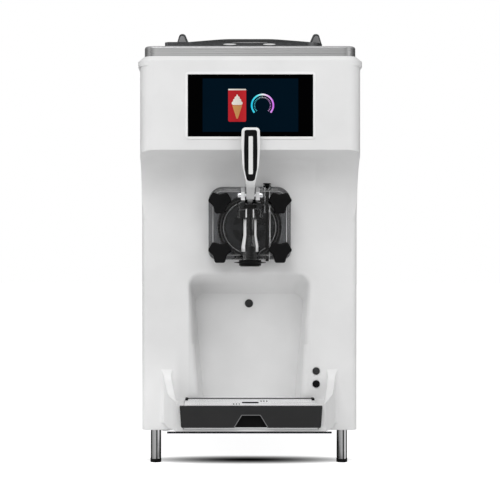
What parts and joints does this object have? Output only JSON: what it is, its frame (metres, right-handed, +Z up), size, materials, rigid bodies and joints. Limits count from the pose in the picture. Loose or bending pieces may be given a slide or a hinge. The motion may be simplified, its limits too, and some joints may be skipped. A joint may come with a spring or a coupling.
{
  "type": "ice cream maker",
  "caption": "Countertop soft-serve ice cream maker: white cabinet on legs, touch screen head, clear dispensing door with pull lever, cup niche and slide-out drip tray.",
  "frame": {"origin": "on the floor, under the middle of the machine's width and depth", "axes": "+Z up, +Y towards the back, +X to the right of someone facing the front"},
  "size_m": [0.3666, 0.62, 0.727],
  "materials": {
    "white_shell": "fine texture",
    "painted_panel": "satin white",
    "steel_sheet": "brushed",
    "zinc_steel": "dull grey",
    "chrome_parts": "polished",
    "stainless": "turned",
    "black_plastic": "fine grain",
    "black_rubber": "matt",
    "clear_plastic": "clear, slightly smoked",
    "lid_grey": "gloss",
    "screen_glass": "gloss black",
    "white_plastic": "smooth",
    "dark_iron": "black paint",
    "aluminium_parts": "plain",
    "copper_pipe": "drawn",
    "circuit_board": "plain"
  },
  "bodies": {
    "cabinet": {"front_moulding": "white_shell", "screen_bezel": "white_shell", "top_collar": "white_shell", "left_side_panel": "painted_panel", "right_side_panel": "painted_panel", "rear_panel": "painted_panel", "top_deck": "steel_sheet", "hopper": "steel_sheet", "feed_pipe": "steel_sheet", "base_pan": "steel_sheet", "chassis": "zinc_steel", "fan_shroud": "zinc_steel", "legs": "chrome_parts", "pivot_pin": "chrome_parts", "pivot_bushes": "chrome_parts", "door_studs": "chrome_parts", "freezing_cylinder": "stainless", "refrigerant_jacket": "stainless", "cup_sensor": "black_plastic", "power_inlet": "black_plastic", "display_module": "black_plastic", "feet": "black_rubber", "door_gasket": "black_rubber", "shaft_seal": "black_rubber", "drive_belt": "black_rubber", "dispensing_door": "clear_plastic", "touch_glass": "screen_glass", "feed_tube": "white_plastic", "insulation": "white_plastic", "compressor": "dark_iron", "drive_motor": "dark_iron", "fan_motor": "dark_iron", "condenser": "aluminium_parts", "gear_reducer": "aluminium_parts", "power_unit": "aluminium_parts", "refrigerant_lines": "copper_pipe", "control_board": "circuit_board"},
    "draw_lever": {"draw_lever": "white_plastic", "grip_inlay": "black_plastic", "grip_strip": "white_plastic"},
    "draw_valve": {"draw_valve": "black_plastic", "valve_seals": "black_rubber"},
    "prime_plug": {"prime_plug": "black_plastic"},
    "nozzle": {"star_nozzle": "black_plastic"},
    "upper_left_knob": {"upper_left_knob": "black_plastic"},
    "upper_right_knob": {"upper_right_knob": "black_plastic"},
    "lower_left_knob": {"lower_left_knob": "black_plastic"},
    "lower_right_knob": {"lower_right_knob": "black_plastic"},
    "drip_tray": {"drip_tray": "steel_sheet", "tray_front": "black_plastic"},
    "drip_grate": {"drip_grate": "steel_sheet"},
    "hopper_lid": {"hopper_lid": "lid_grey"},
    "upper_button": {"upper_button": "black_plastic"},
    "lower_button": {"lower_button": "black_plastic"},
    "dasher": {"dasher": "stainless", "scraper_blades": "white_plastic", "drive_shaft": "stainless"},
    "reducer_pulley": {"reducer_pulley": "aluminium_parts"},
    "motor_pulley": {"motor_pulley": "aluminium_parts"},
    "fan": {"fan": "black_plastic"}
  },
  "joints": [
    {"name": "lever_pull", "type": "hinge", "parent": "cabinet", "child": "draw_lever", "pos_m": [0, -0.25532, 0.451], "axis": [1, 0, 0], "range_deg": [0, 65]},
    {"name": "valve_lift", "type": "slide", "parent": "cabinet", "child": "draw_valve", "axis": [0, 0, 1], "range_m": [0, 0.0216]},
    {"name": "prime_lift", "type": "slide", "parent": "cabinet", "child": "prime_plug", "axis": [0, 0, 1], "range_m": [0, 0.012]},
    {"name": "nozzle_twist", "type": "hinge", "parent": "cabinet", "child": "nozzle", "pos_m": [0, -0.238, 0.34], "axis": [0, 0, 1], "range_deg": [0, 60]},
    {"name": "upper_left_knob_turn", "type": "hinge", "parent": "cabinet", "child": "upper_left_knob", "pos_m": [-0.0495, -0.2267, 0.44075], "axis": [0, -1, 0], "continuous": true},
    {"name": "upper_right_knob_turn", "type": "hinge", "parent": "cabinet", "child": "upper_right_knob", "pos_m": [0.0495, -0.2267, 0.44075], "axis": [0, -1, 0], "continuous": true},
    {"name": "lower_left_knob_turn", "type": "hinge", "parent": "cabinet", "child": "lower_left_knob", "pos_m": [-0.0495, -0.2267, 0.35925], "axis": [0, -1, 0], "continuous": true},
    {"name": "lower_right_knob_turn", "type": "hinge", "parent": "cabinet", "child": "lower_right_knob", "pos_m": [0.0495, -0.2267, 0.35925], "axis": [0, -1, 0], "continuous": true},
    {"name": "tray_slide", "type": "slide", "parent": "cabinet", "child": "drip_tray", "axis": [0, -1, 0], "range_m": [0, 0.115]},
    {"name": "grate_lift", "type": "slide", "parent": "drip_tray", "child": "drip_grate", "axis": [0, 0, 1], "range_m": [0, 0.04]},
    {"name": "lid_lift", "type": "slide", "parent": "cabinet", "child": "hopper_lid", "axis": [0, 0, 1], "range_m": [0, 0.06]},
    {"name": "upper_button_press", "type": "slide", "parent": "cabinet", "child": "upper_button", "axis": [0, 1, 0], "range_m": [0, 0.0025], "stiffness_N_per_m": 600, "springref_m": -0.001},
    {"name": "lower_button_press", "type": "slide", "parent": "cabinet", "child": "lower_button", "axis": [0, 1, 0], "range_m": [0, 0.0025], "stiffness_N_per_m": 600, "springref_m": -0.001},
    {"name": "dasher_spin", "type": "hinge", "parent": "cabinet", "child": "dasher", "pos_m": [0, -0.05, 0.4], "axis": [0, 1, 0], "continuous": true},
    {"name": "reducer_spin", "type": "hinge", "parent": "cabinet", "child": "reducer_pulley", "pos_m": [0, 0.1505, 0.4], "axis": [0, 1, 0], "continuous": true},
    {"name": "motor_spin", "type": "hinge", "parent": "cabinet", "child": "motor_pulley", "pos_m": [0.104, 0.1505, 0.129], "axis": [0, 1, 0], "continuous": true},
    {"name": "fan_spin", "type": "hinge", "parent": "cabinet", "child": "fan", "pos_m": [0, 0.233, 0.179], "axis": [0, 1, 0], "continuous": true}
  ],
  "couplings": [
    {"joint": "valve_lift", "follows": "lever_pull", "m_per_rad": 0.01893},
    {"joint": "reducer_spin", "follows": "dasher_spin", "ratio": 3.2},
    {"joint": "motor_spin", "follows": "dasher_spin", "ratio": 6.7556}
  ]
}
